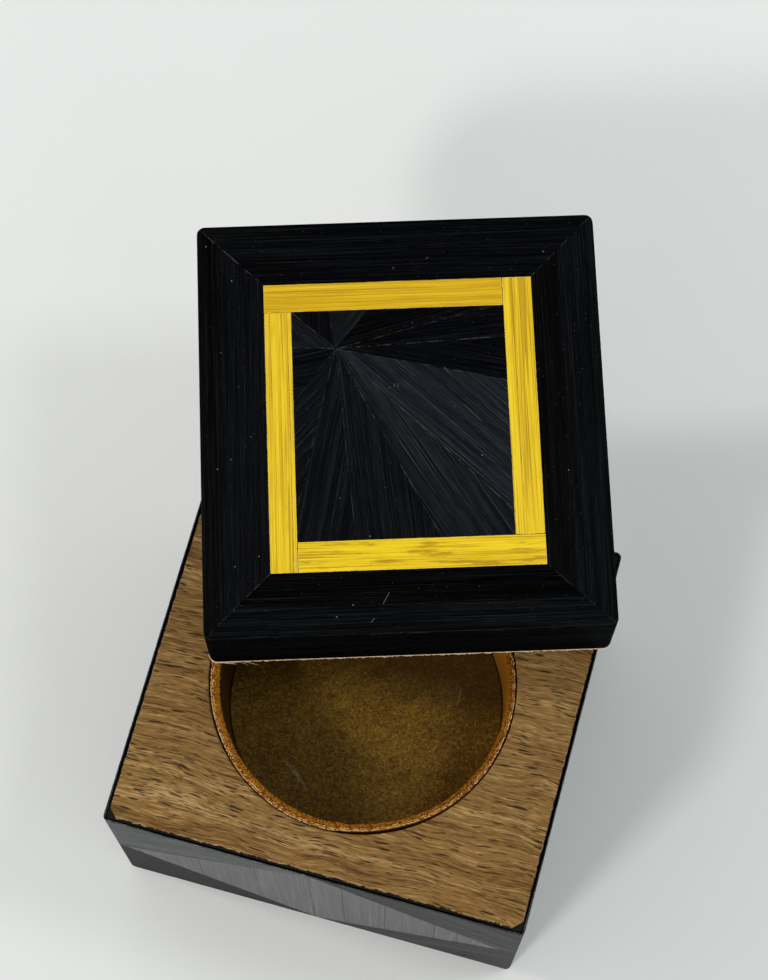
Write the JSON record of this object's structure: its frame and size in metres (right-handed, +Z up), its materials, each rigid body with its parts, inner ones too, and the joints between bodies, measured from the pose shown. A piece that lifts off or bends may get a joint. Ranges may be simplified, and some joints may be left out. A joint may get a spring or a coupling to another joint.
{
  "type": "boxed rosin cake",
  "caption": "Square oak box veneered in black straw with a round velvet-lined well holding a rosin cake; its thick sunburst-veneered lid lies turned across the back of the box.",
  "frame": {"origin": "middle of the oak box's underside, on the surface the box stands on", "axes": "+Z up out of the well, +X along the box's longer sides, +Y towards the side that the displaced lid overhangs"},
  "size_m": [0.0708, 0.0991, 0.054],
  "materials": {
    "oak": "bare oiled oak with open dark pores",
    "black_straw": "black dyed straw, glossy along its grain",
    "yellow_straw": "yellow dyed straw, satin",
    "corner_filler": "black filler, matte",
    "velvet": "orange-gold velvet ribbon with a pale woven edge",
    "rosin": "dark amber rosin, dulled and lightly scratched by use"
  },
  "bodies": {
    "box": {"oak_box_block": "oak", "front_straw_diamond": "black_straw", "front_straw_wedge_top_left": "black_straw", "front_straw_wedge_top_right": "black_straw", "front_straw_wedge_bottom_left": "black_straw", "front_straw_wedge_bottom_right": "black_straw", "right_straw_diamond": "black_straw", "right_straw_wedge_top_left": "black_straw", "right_straw_wedge_top_right": "black_straw", "right_straw_wedge_bottom_left": "black_straw", "right_straw_wedge_bottom_right": "black_straw", "back_straw_diamond": "black_straw", "back_straw_wedge_top_left": "black_straw", "back_straw_wedge_top_right": "black_straw", "back_straw_wedge_bottom_left": "black_straw", "back_straw_wedge_bottom_right": "black_straw", "left_straw_diamond": "black_straw", "left_straw_wedge_top_left": "black_straw", "left_straw_wedge_top_right": "black_straw", "left_straw_wedge_bottom_left": "black_straw", "left_straw_wedge_bottom_right": "black_straw", "corner_filler_front_left": "corner_filler", "corner_filler_front_right": "corner_filler", "corner_filler_back_left": "corner_filler", "corner_filler_back_right": "corner_filler", "well_lining_ribbon": "velvet", "well_floor_pad": "velvet"},
    "cake": {"rosin_cake": "rosin"},
    "lid": {"lid_oak_board": "oak", "lid_edge_straw_front": "black_straw", "lid_edge_straw_right": "black_straw", "lid_edge_straw_back": "black_straw", "lid_edge_straw_left": "black_straw", "lid_border_straw_front": "black_straw", "lid_border_straw_right": "black_straw", "lid_border_straw_back": "black_straw", "lid_border_straw_left": "black_straw", "lid_yellow_strip_back": "yellow_straw", "lid_yellow_strip_right": "yellow_straw", "lid_yellow_strip_front": "yellow_straw", "lid_yellow_strip_left": "yellow_straw", "lid_sun_ray_01": "black_straw", "lid_sun_ray_02": "black_straw", "lid_sun_ray_03": "black_straw", "lid_sun_ray_04": "black_straw", "lid_sun_ray_05": "black_straw", "lid_sun_ray_06": "black_straw", "lid_sun_ray_07": "black_straw", "lid_sun_ray_08": "black_straw", "lid_sun_ray_09": "black_straw", "lid_sun_ray_10": "black_straw", "lid_sun_ray_11": "black_straw", "lid_sun_ray_12": "black_straw"}
  },
  "joints": [
    {"name": "lid_lift", "type": "slide", "parent": "box", "child": "lid", "axis": [0, 0, 1], "range_m": [0, 0.06]},
    {"name": "cake_lift", "type": "slide", "parent": "box", "child": "cake", "axis": [0, 0, 1], "range_m": [0, 0.0136]}
  ]
}
